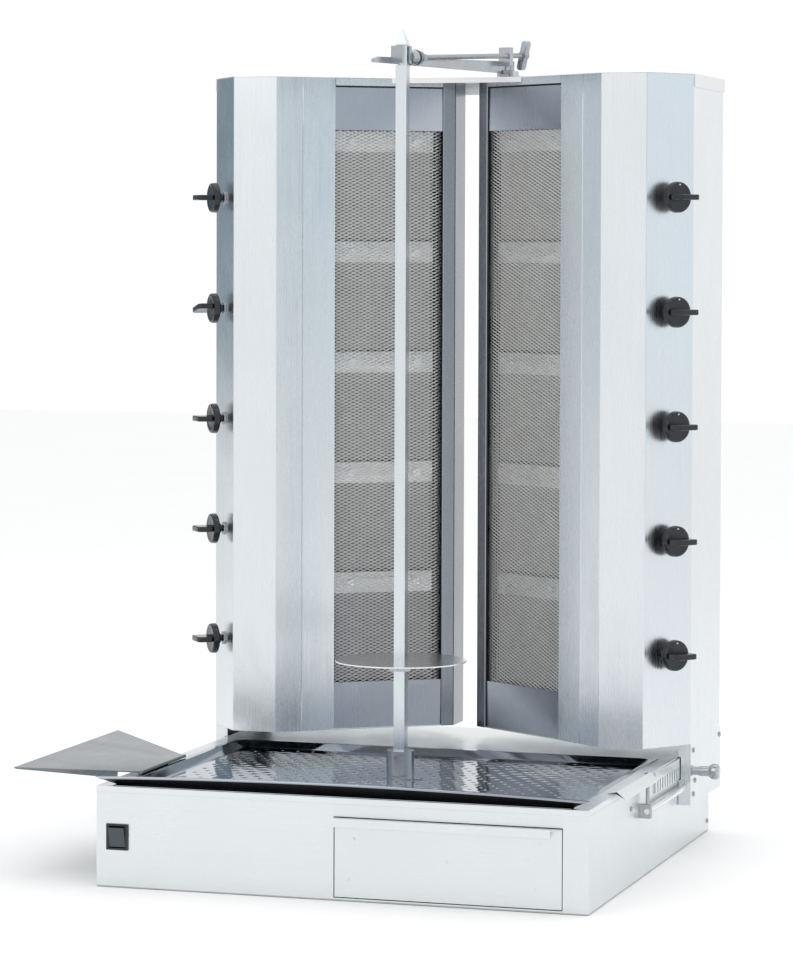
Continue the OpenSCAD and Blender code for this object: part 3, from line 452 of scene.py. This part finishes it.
def joint_place(name, turn=0.0):
    """Matrix at a hinge, in millimetres: Z along its axis, X as near down as it can be."""
    joint = next(j for j in frame["record"]["behaviour"]["joints"] if j["name"] == name)
    z = Vector(joint["axis"]).normalized()
    x = Vector((0, 0, -1))
    y = z.cross(x).normalized()
    x = y.cross(z)
    place = Matrix((x, y, z)).transposed().to_4x4()
    place.translation = Vector(joint["pos_m"]) / MM
    return place @ Matrix.Rotation(turn, 4, "Z")


def spin(bm, outline, place, steps=48):
    """Adds a turned shape from (radius, height) points, about the Z axis of a 4x4 matrix."""
    revolve(bm, outline, place.translation, place.to_3x3(), steps)


def loops_to_skin(bm, loops):
    """Joins rings of equal length with quads."""
    for low, high in zip(loops, loops[1:]):
        for k in range(len(low)):
            n = (k + 1) % len(low)
            bm.faces.new((low[k], low[n], high[n], high[k]))


# ---------------------------------------------------------------- burner towers
FLAT_TO_UPRIGHT = Matrix.Rotation(math.pi / 2, 4, "X") @ Matrix.Translation((0, 0, -1.2))


def face_point(t, depth=0.0):
    """Point on the right tower's burner face, t from the front facet, depth into the tower."""
    c, s = math.cos(FACE_ANGLE), math.sin(FACE_ANGLE)
    return (FRONT_INNER[0] - t * c + depth * s, FRONT_INNER[1] + t * s + depth * c)


def face_place(side, t, depth, z):
    """Matrix whose X runs along the burner face, Y into the tower and Z up."""
    c, s = math.cos(FACE_ANGLE), math.sin(FACE_ANGLE)
    x, y = face_point(t, depth)
    place = Matrix(((-c, s, 0, x), (s, c, 0, y), (0, 0, 1, z), (0, 0, 0, 1)))
    return Matrix.Diagonal((side, 1, 1, 1)) @ place


def tone_of(middle):
    """Material index on a casing: 0 bright facets, 1 strip and 2 post, both steel painted darker as
    shade and dark reflection, 3 return painted near-black as shadow.
    """
    c, s = math.cos(FACE_ANGLE), math.sin(FACE_ANGLE)
    from_front = middle - Vector(FRONT_INNER)
    along = -from_front.x * c + from_front.y * s
    depth = from_front.x * s + from_front.y * c
    if abs(along - FACE_MARGIN - OPEN_W) < 0.2 and 0.5 < depth < STRIP_DEPTH:
        return 3
    if FACE_MARGIN - 0.5 < along < FACE_MARGIN + OPEN_W + 0.5 and -0.5 < depth < STRIP_DEPTH + 1:
        return 1
    if along >= FACE_MARGIN + OPEN_W + 0.5 and middle.y < POST_Y + 52:
        return 2
    return 0


def casing(side, name):
    """Folded casing: a bent strip with round bends, the recessed burner strip and its opening."""
    far = FACE_MARGIN + OPEN_W
    corners = [
        KNOB_EDGE, FRONT_OUTER, FRONT_INNER, face_point(SEAM_AT), face_point(SEAM_AT + 0.8, 1.2),
        face_point(SEAM_AT + 1.6, 0.2), face_point(FACE_MARGIN, SEAM_STEP),
        face_point(FACE_MARGIN, STRIP_DEPTH), face_point(far, STRIP_DEPTH), face_point(far),
        (POST_X, POST_Y), (POST_X, POST_Y + 50), (120, TOWER_BACK), (TOWER_X, TOWER_BACK),
    ]
    bends = {0: 3.0, 1: 3.0, 2: 3.0, 9: 1.4, 10: 2.4, 11: 3.0, 12: 3.0, 13: 3.0}
    outline = fillet(corners, bends)
    levels = [TOWER_Z, MESH_Z, MESH_Z + MESH_H, CASING_TOP]
    strip_from, strip_to = Vector(corners[7]), Vector(corners[8])
    bm = bmesh.new()
    columns = [[bm.verts.new((side * x, y, z)) for z in levels] for x, y in outline]
    for k, (x, y) in enumerate(outline):
        n = (k + 1) % len(outline)
        ends = ((Vector((x, y)), strip_from), (Vector(outline[n]), strip_to))
        is_strip = all((a - b).length < 0.1 for a, b in ends)
        for j in range(3):
            if is_strip and j == 1:
                continue
            face = bm.faces.new((columns[k][j], columns[n][j], columns[n][j + 1], columns[k][j + 1]))
            # Strip and post faces take steel painted darker as shade; the return takes near-black
            # painted shadow.
            face.material_index = tone_of(Vector((x, y)).lerp(Vector(outline[n]), 0.5))
    piece = add_object(name + "_sheet", bm, "tower", 30)
    piece.data.materials.append(MATERIALS["strip"])
    piece.data.materials.append(MATERIALS["post"])
    piece.data.materials.append(MATERIALS["painted_gap_shadow"])
    thicken(piece, SHEET)
    settle(piece, "housing", "brushed_stainless", name)
    rail = bmesh.new()
    rail_place = face_place(side, far - OPEN_W / 2, 0.2, CASING_TOP - TOP_RAIL / 2)
    prism(rail, rounded_rect(OPEN_W - 0.8, TOP_RAIL, 1.0), 1.2, rail_place @ FLAT_TO_UPRIGHT)
    rail_piece = add_object(name + "_top_rail", rail, "tower", 30)
    settle(rail_piece, "housing", "brushed_stainless")
    # A near-black strip under the top rail, painted shadow.
    line = bmesh.new()
    line_place = face_place(side, far - OPEN_W / 2, STRIP_DEPTH - 0.8, CASING_TOP - TOP_RAIL - 1.4)
    prism(line, rounded_rect(OPEN_W - 1.2, 2.2, 1.0), 0.6, line_place @ FLAT_TO_UPRIGHT)
    settle(add_object(name + "_rail_shadow_gap", line, "painted_gap_shadow", 30), "housing", "brushed_stainless")


def expanded_metal(side, name):
    """Expanded-metal guard: rows of flat diamonds with slanted strands."""
    wide, tall, strand, slant = 10.7, 4.8, 0.75, 0.9
    width, height = OPEN_W + 8, MESH_H + 6
    place = face_place(side, FACE_MARGIN - 4, STRIP_DEPTH + SHEET + 1.0, MESH_Z - 3)
    hole_x, hole_z = wide / 2 - 1.5 * strand, tall / 2 - strand * 0.72
    bm = bmesh.new()
    made = {}

    def vert(x, z, y):
        key = (round(x, 2), round(z, 2), round(y, 2))
        if key not in made:
            made[key] = bm.verts.new(place @ Vector((x, y, z)))
        return made[key]

    for row in range(int(2 * height / tall)):
        z = (row + 1) * tall / 2
        shift = wide / 2 if row % 2 else 0.0
        for col in range(int((width - wide) / wide) + 1):
            x = wide / 2 + shift + col * wide
            if x > width - wide / 2:
                continue
            outer, inner = (
                [(x + dx, z, 0), (x, z + dz, -lean), (x - dx, z, 0), (x, z - dz, lean)]
                for dx, dz, lean in ((wide / 2, tall / 2, slant), (hole_x, hole_z, slant * 0.5))
            )
            for k in range(4):
                n = (k + 1) % 4
                corners = []
                for px, pz, py in (outer[k], outer[n], inner[n], inner[k]):
                    corners.append(vert(px, pz, py))
                bm.faces.new(corners)
    piece = add_object(name, bm, "mesh", 60)
    thicken(piece, 0.7, 0)
    return piece


def build_towers():
    sides = ((1, "right"), (-1, "left"))
    for side, word in sides:
        casing(side, word + "_casing")
    guards = [expanded_metal(side, word + "_expanded_guard") for side, word in sides]
    settle(guards[0], "housing", "mesh_steel", "mesh_guards")
    settle(guards[1], "housing", "mesh_steel")


# ---------------------------------------------------------------- drip pan
PAN_W, PAN_D, PAN_FLOOR, WALL_RUN, RIM_W = 610.0, 460.0, 119.0, 14.0, 9.0
PAN_Y = FRONT_Y + 3
PAN_MID_Y = PAN_Y + PAN_D / 2
RIM_Z = DECK_TOP + 1.2
FLOOR_X, FLOOR_Y = PAN_W / 2 - RIM_W - WALL_RUN, PAN_D / 2 - RIM_W - WALL_RUN


def pan_level(x, y):
    """Height of the pan floor, which falls in four planes towards its middle."""
    return PAN_FLOOR + 0.3 + 3.0 * max(abs(x) / FLOOR_X, abs(y - PAN_MID_Y) / FLOOR_Y)


def perforated_floor(bm, pitch=22.0, hole_r=3.1):
    """Hexagonal cells with a round hole each; returns the edges of the holes' rims."""
    reach = pitch / math.sqrt(3)
    made, hole_edges = {}, set()

    def shared(x, y):
        key = (round(x), round(y))
        if key not in made:
            made[key] = bm.verts.new((x, y, pan_level(x, y)))
        return made[key]

    rows, cols = int(FLOOR_Y / reach / 1.5), int(FLOOR_X / pitch) + 1
    for row in range(-rows, rows + 1):
        for col in range(-cols, cols + 1):
            cx = (col + (0.5 if row % 2 else 0.0)) * pitch
            cy = PAN_MID_Y + row * 1.5 * reach
            inside = abs(cx) < FLOOR_X - 15 and abs(cy - PAN_MID_Y) < FLOOR_Y - 15
            if not inside or math.hypot(cx, cy) < 30:
                continue
            edge, hole = [], []
            for k in range(12):
                a = math.radians(30 * k)
                r = reach if k % 2 else reach * math.cos(math.pi / 6)
                edge.append(shared(cx + r * math.cos(a), cy + r * math.sin(a)))
                x, y = cx + hole_r * math.cos(a), cy + hole_r * math.sin(a)
                hole.append(bm.verts.new((x, y, pan_level(x, y))))
            for k in range(12):
                n = (k + 1) % 12
                face = bm.faces.new((edge[k], edge[n], hole[n], hole[k]))
                hole_edges.add(face.edges[2])
    return hole_edges


def ring(bm, half_x, half_y, radius, z, centre=(0.0, 0.0)):
    """A loop of vertices on a rectangle with round corners; z is a height or a function."""
    verts = []
    for x, y in rounded_rect(2 * half_x, 2 * half_y, radius):
        x, y = x + centre[0], y + centre[1]
        verts.append(bm.verts.new((x, y, z(x, y) if callable(z) else z)))
    return verts


def loop_edges(bm, verts):
    return [bm.edges.new((verts[k - 1], verts[k])) for k in range(len(verts))]


def build_pan():
    bm = bmesh.new()
    hole_edges = perforated_floor(bm)
    bm.edges.ensure_lookup_table()
    open_edges = [e for e in bm.edges if len(e.link_faces) == 1 and e not in hole_edges]
    near = [e for e in open_edges if (e.verts[0].co.xy).length < 60]
    outer = [e for e in open_edges if e not in near]
    middle = (0.0, PAN_MID_Y)
    base = ring(bm, FLOOR_X, FLOOR_Y, 8, pan_level, middle)
    socket = ring(bm, 13, 13, 12.9, pan_level)
    bmesh.ops.triangle_fill(bm, use_beauty=True, edges=outer + loop_edges(bm, base), normal=(0, 0, 1))
    bmesh.ops.triangle_fill(bm, use_beauty=True, edges=near + loop_edges(bm, socket), normal=(0, 0, 1))
    top = RIM_Z - 0.4
    walls = [
        base, ring(bm, FLOOR_X + 2, FLOOR_Y + 2, 9, PAN_FLOOR + 4.6, middle),
        ring(bm, FLOOR_X + WALL_RUN - 1.5, FLOOR_Y + WALL_RUN - 1.5, 18, top - 1.0, middle),
        ring(bm, FLOOR_X + WALL_RUN, FLOOR_Y + WALL_RUN, 19, top - 0.3, middle),
        ring(bm, FLOOR_X + WALL_RUN + 1.5, FLOOR_Y + WALL_RUN + 1.5, 20, top, middle),
        ring(bm, PAN_W / 2 - 1, PAN_D / 2 - 1, 4, top, middle),
        ring(bm, PAN_W / 2, PAN_D / 2, 4, top - 0.8, middle),
    ]
    loops_to_skin(bm, walls)
    pan = add_object("pan_sheet", bm, "pan", 12)
    thicken(pan, 1.0)
    settle(pan, "base", "polished_stainless", "drip_pan")
    build_pan_flange()


def build_pan_flange():
    """Raised front flange with a rolled edge, slightly arched, mitred at both ends; its underside is
    painted near-black as shadow.
    """
    end_x, crest_end, rise, columns = HALF_W + 2, 141.5, 6.0, 32
    bm = bmesh.new()
    sections = []
    for k in range(columns + 1):
        u = 2 * k / columns - 1
        crest = crest_end + rise * (1 - u * u)
        profile = [
            (12.0, RIM_Z), (-1.0, crest - 1.6), (-2.0, crest - 0.5), (-3.4, crest), (-4.8, crest - 0.6),
            (-5.5, crest - 1.8), (-5.6, crest - 3.2), (-4.7, crest - 3.6), (-3.2, crest - 2.6),
            (10.8, RIM_Z - 1.1),
        ]
        section = []
        for y, z in profile:
            lift = (z - RIM_Z) / (crest - RIM_Z)
            x = u * (PAN_W / 2 - 4 + (end_x - PAN_W / 2 + 4) * max(0.0, lift))
            section.append(bm.verts.new((x, PAN_Y + y, z)))
        sections.append(section)
    size = len(sections[0])
    for a, b in zip(sections, sections[1:]):
        for k in range(size):
            n = (k + 1) % size
            face = bm.faces.new((a[k], a[n], b[n], b[k]))
            # The three underside faces take the near-black painted shadow.
            face.material_index = 1 if k in (size - 4, size - 3, size - 2) else 0
    bm.faces.new(sections[0])
    bm.faces.new(sections[-1])
    flange = add_object("pan_front_flange", bm, "pan", 30)
    flange.data.materials.append(MATERIALS["shadow"])
    settle(flange, "base", "polished_stainless")


# ---------------------------------------------------------------- knobs
KNOB_R, KNOB_REACH, SKIRT_Z, GRIP_Z = 21.0, 43.0, 12.0, 21.0


def build_knob(name, turn):
    place = joint_place(name + "_turn", turn)
    bm = bmesh.new()
    spin(bm, [
        (3.6, -21), (4, -20.6), (4, 6), (6.4, 6), (7, 6.6), (7, SKIRT_Z), (KNOB_R - 1.2, SKIRT_Z),
        (KNOB_R, SKIRT_Z + 1.2), (KNOB_R - 0.3, GRIP_Z - 2.4), (KNOB_R - 1.2, GRIP_Z - 0.6),
        (KNOB_R - 2.6, GRIP_Z), (KNOB_R - 5.0, GRIP_Z - 0.5), (8, GRIP_Z - 0.2),
    ], place)
    knob = add_object(name + "_body", bm, "knob", 40)
    settle(knob, name, "knob_black", name)
    grip = bmesh.new()
    grip_mid = (GRIP_Z + KNOB_REACH) / 2 - 0.8
    upright = place @ Matrix(((0, 0, 1, -3.7), (1, 0, 0, 0), (0, 1, 0, grip_mid), (0, 0, 0, 1)))
    prism(grip, rounded_rect(2 * KNOB_R - 6.5, KNOB_REACH - GRIP_Z + 1.4, 5.5, 6), 7.4, upright)
    bar = add_object(name + "_grip", grip, "knob", 30)
    bevel_piece(bar, 1.3, 3)
    settle(bar, name, "knob_black")
    dot = bmesh.new()
    dot_place = place @ Matrix.Translation((3.6 - KNOB_R, 0, GRIP_Z - 0.5))
    spin(dot, [(1.5, 0), (1.5, 0.25), (1.1, 0.4)], dot_place, 16)
    settle(add_object(name + "_dot", dot, "mark"), name, "knob_black")


def build_knobs():
    turned = {"left_knob_4": math.radians(12)}
    for side in ("right", "left"):
        for k in range(1, BURNERS + 1):
            name = f"{side}_knob_{k}"
            build_knob(name, turned.get(name, 0.0))


# ---------------------------------------------------------------- clamp screw
CLAMP_RING, CLAMP_NUT, HANDLE_AT, HANDLE_TILT = (27.0, 31.0), (31.0, 41.0), 302.2, 16


def build_clamp():
    place = joint_place("clamp_turn")
    body = bmesh.new()
    rod, nut = 3.5, 8.8
    nut_from, nut_to = CLAMP_NUT
    boss = [(rod, nut_from), (nut - 0.8, nut_from), (nut, nut_from + 0.8)]
    spin(body, [(1.5, 7.2), (rod, 9)] + boss, place)
    ridges, steps = 30, 120
    rings = []
    for z, grow in ((nut_from, -0.8), (nut_from + 1, 0.0), (nut_to - 1, 0.0), (nut_to, -0.8)):
        loop = []
        for k in range(steps):
            a = 2 * math.pi * k / steps
            r = nut + grow + 0.35 * (1 if k % (steps // ridges) < 2 else -1)
            loop.append(body.verts.new(place @ Vector((r * math.cos(a), r * math.sin(a), z))))
        rings.append(loop)
    loops_to_skin(body, rings)
    body.faces.new(rings[0])
    body.faces.new(rings[-1])
    thread = [(rod, nut_to)]
    z = nut_to
    while z < nut_to + 14:
        thread += [(rod + 0.7, z + 0.5), (rod, z + 1.0)]
        z += 1.0
    hub = [(rod, -6), (6, -6), (6.2, -5), (6.2, 5), (5.4, 6)]
    spin(body, thread + [(r, HANDLE_AT + along) for r, along in hub], place, 32)
    screw = add_object("clamp_screw_body", body, "screw", 35)
    settle(screw, "clamp", "turned_steel", "clamp_screw")
    ring_bm = bmesh.new()
    z0, z1 = CLAMP_RING
    washer = [(4, z0), (9.9, z0), (10.7, z0 + 0.8), (10.7, z1 - 0.8), (9.9, z1), (4, z1)]
    spin(ring_bm, washer, place)
    settle(add_object("clamp_washer", ring_bm, "black", 30), "clamp", "black_plastic")
    bar = bmesh.new()
    turn = Matrix.Rotation(math.radians(HANDLE_TILT), 4, "Z")
    tilt = place @ Matrix.Translation((0, 0, HANDLE_AT)) @ turn
    lay = tilt @ Matrix(((0, 1, 0, 0), (1, 0, 0, 0), (0, 0, 1, -5), (0, 0, 0, 1)))
    prism(bar, rounded_rect(10.5, 42, 4.6, 6), 10, lay)
    handle = add_object("clamp_t_bar", bar, "turned", 30)
    bevel_piece(handle, 1.6, 3)
    settle(handle, "clamp", "turned_steel")


# ---------------------------------------------------------------- drawer spot welds
# X and Z of each weld, and how far in front of the base's front plane its disc starts
WELDS = [(21, 78), (142, 55), (14, 27), (263, 84), (256, 28)]
WELD_STAND_OFF = 0.6


def build_spot_welds():
    """Faint raised discs on the drawer front, at the welds of the runners behind it."""
    bm = bmesh.new()
    for x, z in WELDS:
        turn = Matrix.Rotation(math.pi / 2, 4, "X")
        place = Matrix.Translation((x, FRONT_Y - WELD_STAND_OFF, z)) @ turn
        spin(bm, [(2.3, 0.0), (2.0, 0.12), (1.2, 0.22)], place, 20)
    settle(add_object("drawer_spot_welds", bm, "base", 60), "drawer", "brushed_stainless")



# ---------------------------------------------------------------- staging
def build_stage():
    bm = bmesh.new()
    size = 12000
    square = ((-size, -size), (size, -size), (size, size), (-size, size))
    corners = [bm.verts.new((x, y, -0.5)) for x, y in square]
    bm.faces.new(corners)
    MATERIALS["floor"] = floor_material()
    floor = add_object("floor", bm, "floor")


def floor_material():
    s = Shader("pale_floor", (0.98, 0.98, 0.98), 0.0, 0.8)
    s.paint(s.mix(s.remap(s.noise((2, 2, 2)), 0.0, 1.0), (0.975, 0.975, 0.975), (0.985, 0.985, 0.985)))
    return s.material


def area_light(name, size, power, place, target):
    data = bpy.data.lights.new(name, "AREA")
    data.shape = "RECTANGLE"
    data.size, data.size_y = size
    data.energy = power
    lamp = bpy.data.objects.new(name, data)
    lamp.location = place
    lamp.rotation_euler = (Vector(target) - Vector(place)).to_track_quat("-Z", "Y").to_euler()
    bpy.context.scene.collection.objects.link(lamp)


LOBES = [
    # azimuth of a toned stretch of the studio, its inner and outer angle, its colour
    (184, 22, 42, (0.56, 0.63, 0.69)),
    (142, 18, 34, (0.20, 0.27, 0.32)),
    (-27, 4, 30, (0.60, 0.69, 0.76)),
    (3, 5, 24, (0.86, 0.94, 1.0)),
]


def build_light():
    world = bpy.data.worlds.new("studio")
    world.use_nodes = True
    tree = world.node_tree
    background = tree.nodes["Background"]
    background.inputs["Strength"].default_value = 1.03
    direction = tree.nodes.new("ShaderNodeTexCoord").outputs["Generated"]
    color = None
    for azimuth, inner, outer, tone in LOBES:
        dot = tree.nodes.new("ShaderNodeVectorMath")
        dot.operation = "DOT_PRODUCT"
        tree.links.new(direction, dot.inputs[0])
        angle = math.radians(azimuth)
        dot.inputs[1].default_value = (math.cos(angle), math.sin(angle), 0)
        edge = tree.nodes.new("ShaderNodeMapRange")
        edge.interpolation_type = "SMOOTHSTEP"
        edge.inputs["From Min"].default_value = math.cos(math.radians(outer))
        edge.inputs["From Max"].default_value = math.cos(math.radians(inner))
        tree.links.new(dot.outputs["Value"], edge.inputs["Value"])
        mix = tree.nodes.new("ShaderNodeMix")
        mix.data_type = "RGBA"
        tree.links.new(edge.outputs["Result"], mix.inputs[0])
        if color is None:
            mix.inputs[6].default_value = (1, 1, 1, 1)
        else:
            tree.links.new(color, mix.inputs[6])
        mix.inputs[7].default_value = (*tone, 1)
        color = mix.outputs[2]
    # The backdrop itself is plain white; the toned stretches only light the object.
    backdrop = tree.nodes.new("ShaderNodeMix")
    backdrop.data_type = "RGBA"
    tree.links.new(tree.nodes.new("ShaderNodeLightPath").outputs["Is Camera Ray"], backdrop.inputs[0])
    tree.links.new(color, backdrop.inputs[6])
    backdrop.inputs[7].default_value = (1, 1, 1, 1)
    tree.links.new(backdrop.outputs[2], background.inputs["Color"])
    bpy.context.scene.world = world
    bpy.context.scene.view_settings.view_transform = "Standard"
    area_light("key", (2.5, 2.5), 14, (-2.2, -3.0, 2.8), (0, 0, 0.5))
    area_light("top", (3.0, 3.0), 22, (0.4, 0.6, 3.4), (0, 0, 0))


# The view's turn from square to the front, its dip and its roll, in degrees
VIEW_AZIMUTH, VIEW_PITCH, VIEW_ROLL = 17.374, 1.813, 0.185
LENS_MM, SENSOR_MM = 134.1285, 36.0
# The frame's middle, as a fraction of its height above the lens axis
VIEW_SHIFT_Y = -0.1251458
CAMERA_AT = (1.40221, -4.50466, 0.82042)


def build_camera():
    azimuth, pitch, roll = (math.radians(a) for a in (VIEW_AZIMUTH, VIEW_PITCH, VIEW_ROLL))
    level = Vector((-math.sin(azimuth), math.cos(azimuth), 0))
    forward = level * math.cos(pitch) - Vector((0, 0, math.sin(pitch)))
    right = Vector((math.cos(azimuth), math.sin(azimuth), 0))
    up = right.cross(forward)
    right_r = right * math.cos(roll) + up * math.sin(roll)
    up_r = -right * math.sin(roll) + up * math.cos(roll)
    data = bpy.data.cameras.new("camera")
    data.lens = LENS_MM
    data.sensor_width = SENSOR_MM
    data.shift_y = VIEW_SHIFT_Y
    data.clip_end = 100
    camera = bpy.data.objects.new("camera", data)
    matrix = Matrix((right_r, up_r, -forward)).transposed().to_4x4()
    matrix.translation = Vector(CAMERA_AT)
    camera.matrix_world = matrix
    bpy.context.scene.collection.objects.link(camera)
    bpy.context.scene.camera = camera


SOFTENED = {
    "base": ["base_shell", "deck", "drawer_front", "drawer_tray", "hook_rail", "index_comb"],
    "roof": ["roof"],
    "tower": ["right_pedestal", "left_pedestal", "tower_floors"],
    "wing": ["wing_tray"],
    "bar": ["spit_bar"],
    "disc": ["spit_disc"],
    "band": ["bolt_bands", "guide_rods"],
    "turned": [
        "spit_socket", "disc_collar", "drive_shaft", "bearing_block", "top_arm", "top_slide",
        "slide_rail", "plunger_sleeve", "index_plunger", "drive_gear", "motor_pinion",
    ],
    "screw": [
        "base_screws", "pedestal_screws", "valve_nuts", "arm_pivot_bolt", "socket_screw",
        "plunger_spring",
    ],
    "zinc": ["base_floor", "rod_brackets"],
    "black": ["switch_bezel", "cable_gland", "drawer_runners"],
    "rocker": ["switch_rocker"],
    "enamel": ["burner_bodies"],
    "ceramic": ["ceramic_tiles"],
    "brass": ["gas_manifolds", "gas_valves"],
    "bronze": ["shaft_bearing"],
    "cast": ["gear_case", "drive_motor"],
}

build_camera()
build_light()
build_stage()
build_towers()
build_pan()
build_knobs()
build_clamp()
build_spot_welds()
for material, nodes in SOFTENED.items():
    for name in nodes:
        soften(name, material)
